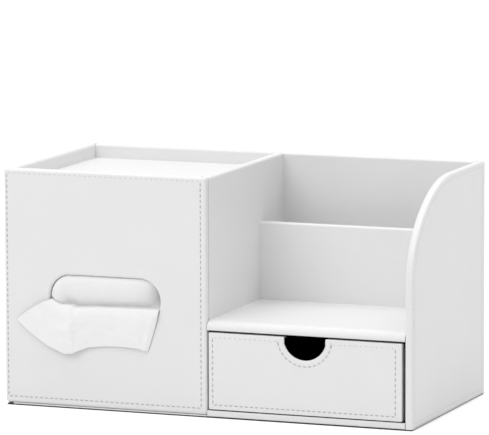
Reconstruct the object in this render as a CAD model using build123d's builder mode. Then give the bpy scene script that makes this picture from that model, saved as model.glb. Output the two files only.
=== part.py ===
from build123d import *
import os

# Desk organiser covered in white leathercloth: a tall tissue section on the left with a
# drop-down front flap and a tray on top, and on the right a drawer, a shelf with a rounded
# nose, a divider and a curved side panel.
# The faces look along -Y, +Z is up, and the origin lies on the desk under the middle of the
# box and of the tissue that hangs out of it.

os.makedirs("parts", exist_ok=True)

# ---- overall sizes, millimetres ----
width = 310.0                # outside of the left wall to outside of the side panel
depth = 160.0                # face of the flap to the outside of the back
height = 171.0               # desk to the rims
tissue_width = 156.0         # tissue section, over both of its walls
tissue_reach = 12.0          # how far the pulled tissue stands out in front of the flap

# ---- sheet stock ----
leather = 0.8                # covering glued over each board
felt_thickness = 1.0         # pad under the whole box
felt_inset = 1.0
velvet = 0.8                 # lining of the drawer
wall = 6.0                   # covered walls: left, centre, back and side panel
base_thickness = 4.4         # covered bottom board
shelf_thickness = 6.9        # covered shelf over the drawer
divider_thickness = 5.0
tray_board_thickness = 4.2
frame_thickness = 6.2        # fixed front frame behind the flap
flap_thickness = 4.7
drawer_front_thickness = 6.0
drawer_board = 4.0           # sides and back of the drawer
drawer_floor = 3.0

# ---- edges ----
wrap_round = 1.8             # leather turned over the edge of a board
seam_round = 0.4             # tight edges that lie against a neighbour
base_round = 1.0
nose_top_round = 5.4         # rounded nose of the shelf
nose_under_round = 1.3

# ---- tissue section ----
tray_depth = 10.0
flap_gap = 0.3               # flap to the frame behind it, and to the drawer section
flap_under_gap = 0.2         # flap to the hinge strip under it
hinge_tail = 26.0            # hinge strip glued under the bottom board
window_side_rail = 5.0
window_bottom_rail = 5.0
window_top_rail = 18.0
slot_width = 85.6
slot_height = 32.4
slot_height_centre = 80.65   # above the desk
slot_across = 77.6           # from the left edge of the flap
magnet_radius = 5.0
magnet_thickness = 2.0
magnet_gap = 0.1             # round each magnet in its pocket
magnet_down = 9.0            # below the rims
magnet_in = 26.0             # from the outsides of the section

# ---- drawer section ----
floor_to_shelf = 57.2        # clear height of the drawer bay
divider_from_front = 105.0
divider_height = 57.0        # above the shelf
curve_front_radius = 57.0    # side panel: first eighth of a turn, from the front edge
curve_top_radius = 101.0     # second eighth of a turn, up to the rim
curve_turn = 45.0            # degrees in each of the two arcs
drawer_gap_left = 1.2
drawer_gap_right = 2.2
drawer_front_gap_under = 0.8
drawer_front_gap_over = 1.3
drawer_run_gap = 0.3         # drawer box over the bottom board
drawer_rear_gap = 2.0
drawer_side_drop = 4.0       # sides below the top of the front
notch_radius = 15.5          # half-round finger notch in the top edge
notch_corner = 1.4

# ---- tissues ----
pack_width = 128.0
pack_depth = 108.0
pack_height = 132.0
pack_round = 9.0
pack_front_gap = 1.5
pack_bulge = 6.5             # next tissue, swelling towards the slot
pack_bulge_in = 2.5          # its outline inside the slot's
pack_bulge_up = 1.0          # its middle over the slot's
pack_bulge_over = 3.5        # its lower edge over the line where the tissue comes out
pack_bulge_round = 4.0
tissue_out_under = 5.5       # line where the tissue comes out, under the slot's middle
tissue_thickness = 1.2       # several plies folded together
tissue_gap = 0.4             # tissue to the leather it hangs on
tissue_spread = 110.0        # hanging part, left tip to right edge
tissue_wing = 67.5           # left tip to the middle of the slot
tissue_drop = 36.0           # lowest tip of the hem below the line where it comes out
tissue_end_gap = 2.8         # part in the slot to each end of the slot
tissue_tail = 9.0            # how far it reaches in behind the face of the flap
tissue_tail_drop = 3.0
tissue_lap = 4.0             # where the part in the slot joins the part in front

# ---- places worked out from the sizes ----
x_left = -width / 2
x_right = width / 2
x_mid = x_left + tissue_width            # right face of the tissue section
y_front = (tissue_reach - depth) / 2
y_back = y_front + depth
y_frame = y_front + flap_thickness + flap_gap
z_base = felt_thickness                  # underside of the box
z_top = height
z_floor = z_base + base_thickness        # top of the bottom board
z_shelf_under = z_floor + floor_to_shelf
z_shelf = z_shelf_under + shelf_thickness
z_tray = z_top - tray_depth
z_out = slot_height_centre - tissue_out_under

x_in_left = x_left + wall                # inside of the tissue section
x_in_mid = x_mid - wall
x_in_right = x_right - wall              # inside of the side panel
y_in_back = y_back - wall
y_in_frame = y_frame + frame_thickness
z_window_top = z_top - window_top_rail
z_flap = z_base + leather + flap_under_gap


def slab(x, y, z, mode=Mode.ADD):
    """A plain board between two corners, given as (low, high) along each axis."""
    size = [high - low for low, high in (x, y, z)]
    with Locations([(sum(x) / 2, sum(y) / 2, sum(z) / 2)]):
        Box(*size, mode=mode)


def on_front(y):
    """Drawing plane square to the depth: X across, Z up."""
    return Plane.XZ.offset(-y)


def footprint(left, right, back, front_in=0.0):
    """Outline of the box on the desk, stepped back behind the flap."""
    corners = [
        (left, y_frame + front_in),
        (x_mid + front_in, y_frame + front_in),
        (x_mid + front_in, y_front + front_in),
        (right, y_front + front_in),
        (right, back),
        (left, back),
    ]
    with BuildSketch() as outline:
        with BuildLine():
            Polyline(*corners, close=True)
        make_face()
    return outline.sketch


def side_outline(x, inset):
    """Side panel seen from the side: upright front, two tangent arcs, level rim."""
    first = JernArc((0, 0), (0, 1), curve_front_radius, -curve_turn, mode=Mode.PRIVATE)
    second = JernArc(first @ 1, first % 1, curve_top_radius, -curve_turn, mode=Mode.PRIVATE)
    z_curve = z_top - (second @ 1).Y
    with BuildSketch(Plane.YZ.offset(x)) as outline:
        with BuildLine():
            front = Line((y_front + inset, z_base), (y_front + inset, z_curve))
            low = JernArc(front @ 1, (0, 1), curve_front_radius - inset, -curve_turn)
            high = JernArc(low @ 1, low % 1, curve_top_radius - inset, -curve_turn)
            rim = Line(high @ 1, (y_back - inset, z_top - inset))
            Polyline(rim @ 1, (y_back - inset, z_base), front @ 0)
        make_face()
    return outline.sketch


def slot_outline(y, margin):
    """Tissue slot with round ends, grown by a margin."""
    with BuildSketch(on_front(y)) as outline:
        with Locations([(x_left + slot_across, slot_height_centre)]):
            SlotOverall(slot_width + 2 * margin, slot_height + 2 * margin)
    return outline.sketch


def magnet_places(y, side):
    """Two magnets near the top corners of the tissue section, in a board's face."""
    z = z_top - magnet_down
    turned = Plane(origin=(0, y, 0), x_dir=(1, 0, 0), z_dir=(0, side, 0))
    return [turned * Location((x, z * -side, 0)) for x in (x_left + magnet_in, x_mid - magnet_in)]


# ---------------------------------------------------------------- bottom
with BuildPart() as base_felt:
    slab(
        (x_left + felt_inset, x_right - felt_inset),
        (y_front + felt_inset, y_back - felt_inset),
        (0.0, felt_thickness),
    )

with BuildPart() as bottom_board:
    with BuildSketch(Plane.XY.offset(z_base + leather)):
        add(footprint(x_in_left, x_in_right, y_in_back, leather))
    extrude(amount=base_thickness - 2 * leather)

with BuildPart() as flap_hinge:
    slab(
        (x_in_left, x_mid - 2 * flap_gap),
        (y_front + flap_gap, y_frame + hinge_tail),
        (z_base, z_base + leather),
    )

with BuildPart() as bottom_leather:
    with BuildSketch(Plane.XY.offset(z_base)):
        add(footprint(x_in_left, x_in_right, y_in_back))
    extrude(amount=base_thickness)
    face_edges = bottom_leather.faces().sort_by(Axis.Y)[0].edges().filter_by(Axis.X)
    fillet(face_edges, base_round)
    add(bottom_board.part, mode=Mode.SUBTRACT)
    add(flap_hinge.part, mode=Mode.SUBTRACT)

# ---------------------------------------------------------------- walls
with BuildPart() as left_wall_board:
    slab(
        (x_left + leather, x_in_left - leather),
        (y_frame + leather, y_back - leather),
        (z_base, z_top - leather),
    )

with BuildPart() as left_wall_leather:
    slab((x_left, x_in_left), (y_frame, y_back), (z_base, z_top))
    fillet(left_wall_leather.faces().sort_by(Axis.Z)[-1].edges().filter_by(Axis.Y), wrap_round)
    fillet(left_wall_leather.edges().filter_by(Axis.Z).group_by(Axis.Y)[-1], wrap_round)
    add(left_wall_board.part, mode=Mode.SUBTRACT)

with BuildPart() as centre_wall_board:
    slab(
        (x_in_mid + leather, x_mid - leather),
        (y_frame + leather, y_in_back),
        (z_floor, z_top - leather),
    )

with BuildPart() as centre_wall_leather:
    slab((x_in_mid, x_mid), (y_frame, y_in_back), (z_floor, z_top))
    fillet(centre_wall_leather.faces().sort_by(Axis.Z)[-1].edges().filter_by(Axis.Y), wrap_round)
    add(centre_wall_board.part, mode=Mode.SUBTRACT)

with BuildPart() as back_board:
    slab((x_in_left, x_in_right), (y_in_back + leather, y_back - leather), (z_base, z_top - leather))

with BuildPart() as back_leather:
    slab((x_in_left, x_in_right), (y_in_back, y_back), (z_base, z_top))
    fillet(back_leather.faces().sort_by(Axis.Z)[-1].edges().filter_by(Axis.X), wrap_round)
    add(back_board.part, mode=Mode.SUBTRACT)

with BuildPart() as side_panel_board:
    extrude(side_outline(x_in_right + leather, leather), amount=wall - 2 * leather)

with BuildPart() as side_panel_leather:
    extrude(side_outline(x_in_right, 0.0), amount=wall)
    panel_faces = side_panel_leather.faces().sort_by(Axis.X)
    rims = panel_faces[0].edges() + panel_faces[-1].edges()
    fillet([rim for rim in rims if rim.center().Z > z_base + leather], wrap_round)
    add(side_panel_board.part, mode=Mode.SUBTRACT)

# ---------------------------------------------------------------- front frame and tray
frame_window = (
    (x_in_left + window_side_rail, x_in_mid - window_side_rail),
    (z_floor + window_bottom_rail, z_window_top),
)

with BuildPart() as front_frame_board:
    slab(
        (x_in_left, x_in_mid),
        (y_frame + leather, y_in_frame - leather),
        (z_floor, z_top - leather),
    )
    slab(
        (frame_window[0][0] - leather, frame_window[0][1] + leather),
        (y_frame, y_in_frame),
        (frame_window[1][0] - leather, frame_window[1][1] + leather),
        mode=Mode.SUBTRACT,
    )
    with Locations(magnet_places(y_frame + leather, 1)):
        Cylinder(
            magnet_radius + magnet_gap,
            magnet_thickness,
            align=(Align.CENTER, Align.CENTER, Align.MIN),
            mode=Mode.SUBTRACT,
        )

with BuildPart() as frame_magnets:
    with Locations(magnet_places(y_frame + leather, 1)):
        Cylinder(
            magnet_radius, magnet_thickness, align=(Align.CENTER, Align.CENTER, Align.MIN)
        )

with BuildPart() as front_frame_leather:
    slab((x_in_left, x_in_mid), (y_frame, y_in_frame), (z_floor, z_top))
    slab(frame_window[0], (y_frame, y_in_frame), frame_window[1], mode=Mode.SUBTRACT)
    frame_rim = front_frame_leather.faces().sort_by(Axis.Z)[-1].edges().filter_by(Axis.X).sort_by(Axis.Y)
    fillet(frame_rim[0], seam_round)
    frame_rim = front_frame_leather.faces().sort_by(Axis.Z)[-1].edges().filter_by(Axis.X).sort_by(Axis.Y)
    fillet(frame_rim[-1], wrap_round)
    add(front_frame_board.part, mode=Mode.SUBTRACT)
    with Locations(magnet_places(y_frame + leather, 1)):
        Cylinder(
            magnet_radius + magnet_gap,
            magnet_thickness,
            align=(Align.CENTER, Align.CENTER, Align.MIN),
            mode=Mode.SUBTRACT,
        )

with BuildPart() as tray_board:
    slab(
        (x_in_left, x_in_mid),
        (y_in_frame, y_in_back),
        (z_tray - leather - tray_board_thickness, z_tray - leather),
    )

with BuildPart() as tray_leather:
    slab((x_in_left, x_in_mid), (y_in_frame, y_in_back), (z_tray - leather, z_tray))

# ---------------------------------------------------------------- shelf and divider
def shelf_profile(x, inset, back):
    """Shelf seen from the side, with its large round over a small one."""
    with BuildSketch(Plane.YZ.offset(x)) as profile:
        with BuildLine():
            Polyline(
                (back, z_shelf - inset),
                (y_front + inset, z_shelf - inset),
                (y_front + inset, z_shelf_under + inset),
                (back, z_shelf_under + inset),
                close=True,
            )
        make_face()
        fillet(profile.vertices().group_by(Axis.X)[0].sort_by(Axis.Y)[-1], nose_top_round - inset)
        fillet(profile.vertices().group_by(Axis.X)[0].sort_by(Axis.Y)[0], nose_under_round - inset)
    return profile.sketch


with BuildPart() as shelf_board:
    extrude(shelf_profile(x_mid, leather, y_in_back), amount=x_in_right - x_mid)

with BuildPart() as shelf_leather:
    extrude(shelf_profile(x_mid, 0.0, y_in_back), amount=x_in_right - x_mid)
    add(shelf_board.part, mode=Mode.SUBTRACT)

y_divider = y_front + divider_from_front
z_divider = z_shelf + divider_height

with BuildPart() as divider_board:
    slab(
        (x_mid, x_in_right),
        (y_divider + leather, y_divider + divider_thickness - leather),
        (z_shelf, z_divider - leather),
    )

with BuildPart() as divider_leather:
    slab((x_mid, x_in_right), (y_divider, y_divider + divider_thickness), (z_shelf, z_divider))
    fillet(divider_leather.faces().sort_by(Axis.Z)[-1].edges().filter_by(Axis.X), wrap_round)
    add(divider_board.part, mode=Mode.SUBTRACT)

# ---------------------------------------------------------------- flap
flap_x = (x_left, x_mid - flap_gap)
flap_pocket = [(flap_x[0] + leather, flap_x[1] - leather), (z_flap + leather, z_top - leather)]
y_flap_back = y_front + flap_thickness
y_lining = y_flap_back - velvet

with BuildPart() as flap_board:
    slab(flap_pocket[0], (y_front + leather, y_lining), flap_pocket[1])
    extrude(slot_outline(y_front, leather), amount=-flap_thickness, mode=Mode.SUBTRACT)
    with Locations(magnet_places(y_lining, -1)):
        Cylinder(
            magnet_radius + magnet_gap,
            magnet_thickness,
            align=(Align.CENTER, Align.CENTER, Align.MIN),
            mode=Mode.SUBTRACT,
        )

with BuildPart() as flap_magnets:
    with Locations(magnet_places(y_lining, -1)):
        Cylinder(
            magnet_radius, magnet_thickness, align=(Align.CENTER, Align.CENTER, Align.MIN)
        )

with BuildPart() as flap_lining:
    slab(flap_pocket[0], (y_lining, y_flap_back), flap_pocket[1])
    extrude(slot_outline(y_front, leather), amount=-flap_thickness, mode=Mode.SUBTRACT)

with BuildPart() as flap_leather:
    slab(flap_x, (y_front, y_flap_back), (z_flap, z_top))
    fillet(flap_leather.faces().sort_by(Axis.Y)[0].edges(), wrap_round)
    fillet(flap_leather.faces().sort_by(Axis.Y)[-1].edges(), seam_round)
    extrude(slot_outline(y_front, 0.0), amount=-flap_thickness, mode=Mode.SUBTRACT)
    slot_rim = flap_leather.faces().sort_by(Axis.Y)[0].inner_wires()[0].edges()
    fillet(slot_rim, wrap_round - leather)
    slab(flap_pocket[0], (y_front + leather, y_flap_back), flap_pocket[1], mode=Mode.SUBTRACT)
    with BuildPart(mode=Mode.PRIVATE) as slot_turn:
        extrude(slot_outline(y_front + leather, leather), amount=leather - flap_thickness)
        extrude(slot_outline(y_front, 0.0), amount=-flap_thickness, mode=Mode.SUBTRACT)
    add(slot_turn.part)

# ---------------------------------------------------------------- drawer
drawer_x = (x_mid + drawer_gap_left, x_in_right - drawer_gap_right)
drawer_y = (y_front + drawer_front_thickness - leather, y_in_back - drawer_rear_gap)
z_drawer = z_floor + drawer_run_gap
z_front_low = z_floor + drawer_front_gap_under
z_front_top = z_shelf_under - drawer_front_gap_over
z_drawer_top = z_front_top - drawer_side_drop
x_drawer_centre = sum(drawer_x) / 2


def drawer_front_outline(y, inset):
    """Drawer front with its half-round finger notch."""
    with BuildSketch(on_front(y)) as outline:
        with BuildLine():
            Polyline(
                (drawer_x[0] + inset, z_front_low + inset),
                (drawer_x[1] - inset, z_front_low + inset),
                (drawer_x[1] - inset, z_front_top - inset),
                (drawer_x[0] + inset, z_front_top - inset),
                close=True,
            )
        make_face()
        with Locations([(x_drawer_centre, z_front_top)]):
            Circle(notch_radius + inset, mode=Mode.SUBTRACT)
        lips = outline.vertices().group_by(Axis.Y)[-1].sort_by(Axis.X)[1:3]
        fillet(lips, notch_corner - inset)
    return outline.sketch


with BuildPart() as drawer_front_board:
    extrude(
        drawer_front_outline(y_front + leather, leather),
        amount=2 * leather - drawer_front_thickness,
    )

with BuildPart() as drawer_front_leather:
    extrude(drawer_front_outline(y_front, 0.0), amount=leather - drawer_front_thickness)
    fillet(drawer_front_leather.faces().sort_by(Axis.Y)[0].edges(), wrap_round - leather / 2)
    add(drawer_front_board.part, mode=Mode.SUBTRACT)

with BuildPart() as drawer_side_left:
    slab((drawer_x[0], drawer_x[0] + drawer_board), drawer_y, (z_drawer, z_drawer_top))

with BuildPart() as drawer_side_right:
    slab((drawer_x[1] - drawer_board, drawer_x[1]), drawer_y, (z_drawer, z_drawer_top))

drawer_in_x = (drawer_x[0] + drawer_board, drawer_x[1] - drawer_board)
drawer_in_y = (drawer_y[0], drawer_y[1] - drawer_board)

with BuildPart() as drawer_back:
    slab(drawer_in_x, (drawer_in_y[1], drawer_y[1]), (z_drawer, z_drawer_top))

with BuildPart() as drawer_bottom:
    slab(drawer_in_x, drawer_in_y, (z_drawer, z_drawer + drawer_floor))

with BuildPart() as drawer_lining:
    slab(drawer_in_x, drawer_in_y, (z_drawer + drawer_floor, z_drawer_top))
    slab(
        (drawer_in_x[0] + velvet, drawer_in_x[1] - velvet),
        (drawer_in_y[0] + velvet, drawer_in_y[1] - velvet),
        (z_drawer + drawer_floor + velvet, z_drawer_top),
        mode=Mode.SUBTRACT,
    )
    with BuildSketch(on_front(drawer_in_y[0])):
        with Locations([(x_drawer_centre, z_front_top)]):
            Circle(notch_radius)
    extrude(amount=-velvet, mode=Mode.SUBTRACT)

# ---------------------------------------------------------------- tissues
x_tissues = (x_in_left + x_in_mid) / 2
y_pack = y_in_frame + pack_front_gap

with BuildPart() as tissue_pack:
    slab(
        (x_tissues - pack_width / 2, x_tissues + pack_width / 2),
        (y_pack, y_pack + pack_depth),
        (z_floor, z_floor + pack_height),
    )
    fillet(tissue_pack.edges(), pack_round)
    with BuildSketch(on_front(y_pack)):
        with Locations([(x_left + slot_across, slot_height_centre + pack_bulge_up)]):
            SlotOverall(slot_width - 2 * pack_bulge_in, slot_height - 2 * pack_bulge_in)
        with Locations([(x_left + slot_across, z_out + pack_bulge_over)]):
            Rectangle(
                slot_width, slot_height, align=(Align.CENTER, Align.MAX), mode=Mode.SUBTRACT
            )
    extrude(amount=pack_bulge)
    fillet(tissue_pack.faces().sort_by(Axis.Y)[0].edges(), pack_bulge_round)

# Hanging tissue from its left tip to its right edge, as shares of the four sizes above: place
# across the spread, top and hem below the line where it comes out, and how far the hem stands out.
tissue_folds = [
    (0.00, 0.27, 0.37, 0.30),
    (0.12, 0.10, 0.59, 0.55),
    (0.24, -0.12, 0.80, 0.35),
    (0.34, -0.05, 1.00, 1.00),
    (0.48, -0.05, 0.85, 0.45),
    (0.63, -0.05, 0.80, 0.95),
    (0.79, -0.05, 0.78, 0.40),
    (0.92, -0.04, 0.87, 0.90),
    (1.00, -0.04, 0.12, 0.20),
]

with BuildPart() as tissue_sheet:
    x_tip = x_left + slot_across - tissue_wing
    y_hang = y_front - tissue_gap
    for across, high, hem, out in tissue_folds:
        z_high = z_out - tissue_drop * high
        z_hem = z_out - tissue_drop * hem
        y_hem = y_front - tissue_reach * out + tissue_thickness
        z_half = (z_high + z_hem) / 2
        y_half = (y_hang + y_hem) / 2 - tissue_thickness / 2
        with BuildSketch(Plane.YZ.offset(x_tip + tissue_spread * across)):
            with BuildLine():
                Polyline(
                    (y_hang, z_high),
                    (y_half, z_half),
                    (y_hem, z_hem),
                    (y_hem - tissue_thickness, z_hem),
                    (y_half - tissue_thickness, z_half),
                    (y_hang - tissue_thickness, z_high),
                    close=True,
                )
            make_face()
    loft(ruled=True)
    z_over = z_out + tissue_gap
    y_over = y_flap_back + tissue_gap
    with BuildSketch(Plane.YZ.offset(x_left + slot_across - slot_width / 2 + tissue_end_gap)):
        with BuildLine():
            Polyline(
                (y_front + tissue_tail, z_over - tissue_tail_drop),
                (y_over, z_over),
                (y_hang, z_over),
                (y_hang, z_over - tissue_lap),
                (y_hang - tissue_thickness, z_over - tissue_lap),
                (y_hang - tissue_thickness, z_over + tissue_thickness / 2),
                (y_hang, z_over + tissue_thickness),
                (y_over, z_over + tissue_thickness),
                (y_front + tissue_tail, z_over - tissue_tail_drop + tissue_thickness),
                close=True,
            )
        make_face()
    extrude(amount=slot_width - 2 * tissue_end_gap)

# ---------------------------------------------------------------- write the pieces
pieces = {
    "base_felt": base_felt,
    "bottom_board": bottom_board,
    "bottom_leather": bottom_leather,
    "left_wall_board": left_wall_board,
    "left_wall_leather": left_wall_leather,
    "centre_wall_board": centre_wall_board,
    "centre_wall_leather": centre_wall_leather,
    "back_board": back_board,
    "back_leather": back_leather,
    "side_panel_board": side_panel_board,
    "side_panel_leather": side_panel_leather,
    "front_frame_board": front_frame_board,
    "front_frame_leather": front_frame_leather,
    "frame_magnets": frame_magnets,
    "tray_board": tray_board,
    "tray_leather": tray_leather,
    "shelf_board": shelf_board,
    "shelf_leather": shelf_leather,
    "divider_board": divider_board,
    "divider_leather": divider_leather,
    "flap_hinge": flap_hinge,
    "tissue_pack": tissue_pack,
    "flap_board": flap_board,
    "flap_leather": flap_leather,
    "flap_lining": flap_lining,
    "flap_magnets": flap_magnets,
    "tissue_sheet": tissue_sheet,
    "drawer_front_board": drawer_front_board,
    "drawer_front_leather": drawer_front_leather,
    "drawer_side_left": drawer_side_left,
    "drawer_side_right": drawer_side_right,
    "drawer_back": drawer_back,
    "drawer_bottom": drawer_bottom,
    "drawer_lining": drawer_lining,
}

for name, piece in pieces.items():
    piece.part.label = name
    export_step(piece.part, f"parts/{name}.step")
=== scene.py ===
import math

import bmesh
import bpy
from bpy.props import FloatProperty, FloatVectorProperty, IntProperty, PointerProperty
from mathutils import Matrix, Vector, noise


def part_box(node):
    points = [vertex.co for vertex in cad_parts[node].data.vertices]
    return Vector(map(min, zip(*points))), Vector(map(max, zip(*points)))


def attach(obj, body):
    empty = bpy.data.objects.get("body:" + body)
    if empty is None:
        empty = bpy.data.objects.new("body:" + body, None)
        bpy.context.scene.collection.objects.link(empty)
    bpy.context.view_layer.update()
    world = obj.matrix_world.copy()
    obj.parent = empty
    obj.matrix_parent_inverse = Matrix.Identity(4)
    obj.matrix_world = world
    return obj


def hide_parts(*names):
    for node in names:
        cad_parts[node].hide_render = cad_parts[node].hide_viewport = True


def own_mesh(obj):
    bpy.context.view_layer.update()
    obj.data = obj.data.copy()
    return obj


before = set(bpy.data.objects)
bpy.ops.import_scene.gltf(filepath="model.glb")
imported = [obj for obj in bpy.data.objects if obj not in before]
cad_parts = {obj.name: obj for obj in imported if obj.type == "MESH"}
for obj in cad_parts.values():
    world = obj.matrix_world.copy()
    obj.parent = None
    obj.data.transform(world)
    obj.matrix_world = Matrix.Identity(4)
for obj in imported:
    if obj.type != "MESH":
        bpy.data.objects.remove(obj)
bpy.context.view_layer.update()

bl_info = {
    "name": "Tissue box with drawer",
    "version": (1, 0, 0),
    "blender": (4, 5, 0),
    "location": "3D View > Sidebar > Tissue box",
    "description": "Leathercloth covers, stitches, linings and tissues around the built boards",
    "category": "Object",
}

MM = 0.001
NEAR = 0.02 * MM             # two places closer than this are the same place
RING_PLAY = 0.2 * MM         # how far points round the notch may lie off a true circle
PAST = 1 * MM                # how far a cutter goes past what it cuts
SHARP = math.radians(60)     # an edge that turns by more than this is sharp
SHADED_FLAT = math.radians(50)   # an edge that turns by more than this isn't shaded smooth
EIGHTH_TURN = math.radians(45)
PARALLEL = 0.999             # least cosine between an edge and the direction that it runs in
FACING = 0.99                # least cosine between a face's normal and the way that it looks

X, Y, Z = range(3)
LEFT, FRONT, DOWN = Vector((-1, 0, 0)), Vector((0, -1, 0)), Vector((0, 0, -1))
RIGHT, BACK, UP = -LEFT, -FRONT, -DOWN

# Segments of a rounded edge.
SEAM_SEGMENTS = 2
EDGE_SEGMENTS = 3
PACK_SEGMENTS = 4
RIM_SEGMENTS = 5
WRAP_SEGMENTS = 6
NOSE_SEGMENTS = 12

# Straight pieces of a curve.
THREAD_SIDES = 8
SLOT_SIDES = 50
NOTCH_SIDES = 48
NOTCH_SEAM_STEPS = 40
LOWER_CURVE_STEPS = 12
UPPER_CURVE_STEPS = 14

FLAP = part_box("flap_leather")
DRAWER_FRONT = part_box("drawer_front_leather")
SIDE_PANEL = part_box("side_panel_leather")
BACK_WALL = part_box("back_leather")
TISSUE_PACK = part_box("tissue_pack")

# The drawer's bay, whose faces get painted shade, black and matt, so that the gaps round the drawer
# front look dark. It takes in the faces of the walls beside, over and under it, starts a little way
# behind their front edges and stops short of the back wall.
SHADE_BEHIND_EDGE = 1.6 * MM
SHADE_MARGIN = 0.3 * MM
BAY_PAINTED_SHADE = (
    Vector((
        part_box("centre_wall_leather")[1].x - SHADE_MARGIN,
        FLAP[0].y + SHADE_BEHIND_EDGE,
        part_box("bottom_leather")[1].z - SHADE_MARGIN,
    )),
    Vector((
        SIDE_PANEL[0].x + SHADE_MARGIN,
        BACK_WALL[0].y - SHADE_MARGIN,
        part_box("shelf_leather")[0].z + SHADE_MARGIN,
    )),
)


def length(name, description, millimetres):
    """A size that a user may change."""
    return FloatProperty(
        name=name, description=description, default=millimetres * MM, unit="LENGTH", precision=5
    )


def colour(name, description, red, green, blue):
    """A colour that a user may change."""
    return FloatVectorProperty(
        name=name,
        description=description,
        default=(red, green, blue),
        subtype="COLOR",
        min=0,
        max=1,
    )


class TissueBoxSizes(bpy.types.PropertyGroup):
    """Sizes of the covers, seams and tissues"""

    leather: length("Leather", "Thickness of the leathercloth", 0.8)
    wrap_round: length("Wrapped edge", "Radius where leathercloth turns over a board's edge", 1.8)
    seam_round: length("Seam edge", "Radius of tight edges against a neighbour", 0.4)
    nose_round: length("Nose", "Large radius of the shelf's front edge", 5.4)
    nose_under_round: length("Nose underside", "Small radius under the shelf's front edge", 1.3)
    paper_round: length("Paper edge", "Radius of the paper-covered drawer boards", 0.5)

    slot_width: length("Slot width", "Tissue slot from end to end", 85.6)
    slot_height: length("Slot height", "Tissue slot from lip to lip", 32.4)
    slot_across: length("Slot place across", "Middle of the slot from the flap's left edge", 77.6)
    slot_above: length("Slot place up", "Middle of the slot above the desk", 80.65)
    slot_round: length("Slot rim", "Radius of the leathercloth turned into the slot", 1.8)
    notch_radius: length("Notch", "Radius of the finger notch in the drawer front", 15.5)
    notch_lip: length("Notch lip", "Radius of the leathercloth turned into the finger notch", 2.4)
    drawer_round: length("Drawer edge", "Radius of the drawer front's edges", 0.7)

    channel_width: length("Seam channel width", "Dip that the stitches pull into the cover", 1.6)
    channel_depth: length("Seam channel depth", "Depth of that dip", 0.25)
    stitch_pitch: length("Stitch pitch", "From one stitch to the next", 3.9)
    stitch_length: length("Stitch length", "Part of each stitch that shows", 2.5)
    thread: length("Thread", "Thickness of the sewing thread", 0.7)
    thread_proud: length("Proud stitches", "Thread above the bottom of its channel", 0.6)
    thread_tight: length("Tight stitches", "Thread above the channel where it is pulled in", 0.16)

    flap_seam_left: length("Flap seam, left", "Stitches from the flap's left edge", 2.4)
    flap_seam_right: length("Flap seam, right", "Stitches from the flap's right edge", 4.3)
    flap_seam_top: length("Flap seam, top", "Stitches below the flap's top edge", 2.7)
    flap_seam_bottom: length("Flap seam, bottom", "Stitches above the flap's lower edge", 4.6)
    drawer_seam_left: length("Drawer seam, left", "Stitches from the front's left edge", 3.0)
    drawer_seam_right: length("Drawer seam, right", "Stitches from the front's right edge", 4.8)
    drawer_seam_top: length("Drawer seam, top", "Stitches below the front's top edge", 3.5)
    drawer_seam_bottom: length("Drawer seam, bottom", "Stitches above its lower edge", 3.4)
    notch_seam: length("Notch seam", "Stitches outside the finger notch", 5.0)
    panel_seam_front: length("Panel seam, front", "Stitches behind the curved front edge", 3.8)
    panel_seam_back: length("Panel seam, back", "Stitches in front of the back edge", 8.0)

    curve_front_radius: length("Lower curve", "Side panel's first eighth of a turn", 57)
    curve_top_radius: length("Upper curve", "Side panel's second eighth of a turn", 101)

    out_under: length("Tissue line", "Where the tissue comes out, under the slot's middle", 5.5)
    tissue_ply: length("Tissue", "Thickness of the plies of a tissue", 0.25)
    bulge_in: length("Bulge margin", "Next tissue inside the slot's outline", 0.35)
    bulge_up: length("Bulge raise", "Next tissue above the middle of the slot", 0.3)
    bulge_seat: length("Bulge seat", "Where the next tissue meets the slot, behind the flap's face", 3.4)
    bulge_built: length("Built bulge", "How far the built pack swells past its flat front", 6.5)
    pack_round: length("Pack edge", "Radius of the pack's soft edges", 9)


class TissueBoxColours(bpy.types.PropertyGroup):
    """Colours of the finishes"""

    leather: colour("Leathercloth", "White covering of every board", 0.80, 0.80, 0.80)
    # Grey: painted shade of the groove and needle holes on a white thread; the channel and each stitch's
    # dips also shade it for real.
    thread: colour("Thread", "Sewing thread", 0.52, 0.52, 0.52)
    tissue: colour("Tissue", "Tissue paper", 0.88, 0.88, 0.88)
    paper: colour("Paper", "Matt paper over the drawer's boards", 0.78, 0.78, 0.78)
    # Also the colour of the painted shade in the drawer's bay.
    velvet: colour("Velvet", "Lining of the drawer", 0.012, 0.012, 0.013)
    felt: colour("Felt", "Pad under the box", 0.02, 0.02, 0.021)
    steel: colour("Magnet", "Plating of the magnets", 0.55, 0.55, 0.56)
    fibre_dark: colour("Fibreboard, dark", "Darker fibres of the boards", 0.30, 0.21, 0.13)
    fibre_light: colour("Fibreboard, light", "Lighter fibres of the boards", 0.42, 0.31, 0.20)


class TissueBoxStage(bpy.types.PropertyGroup):
    """Camera and light"""

    lens: FloatProperty(
        name="Lens", description="Focal length, mm", default=340.014, unit="CAMERA"
    )
    sensor: FloatProperty(
        name="Sensor", description="Sensor width, mm", default=36.0, unit="CAMERA"
    )
    place: FloatVectorProperty(
        name="Camera place",
        description="Where the camera stands",
        default=(1.19242, -3.06368, 0.59502),
        subtype="TRANSLATION",
        unit="LENGTH",
    )
    turn: FloatVectorProperty(
        name="Camera turn",
        description="Pitch up from straight down, roll and yaw of the camera",
        default=(math.radians(82.007), math.radians(-0.204), math.radians(21.249)),
        subtype="EULER",
        unit="ROTATION",
    )
    sky: FloatProperty(name="Sky", description="Light from all round", default=0.65, min=0)
    top_light: FloatProperty(
        name="Top light", description="Soft lamp overhead, watts", default=27, unit="POWER"
    )
    front_light: FloatProperty(
        name="Front light", description="Soft lamp in front, watts", default=21.7, unit="POWER"
    )


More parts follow.
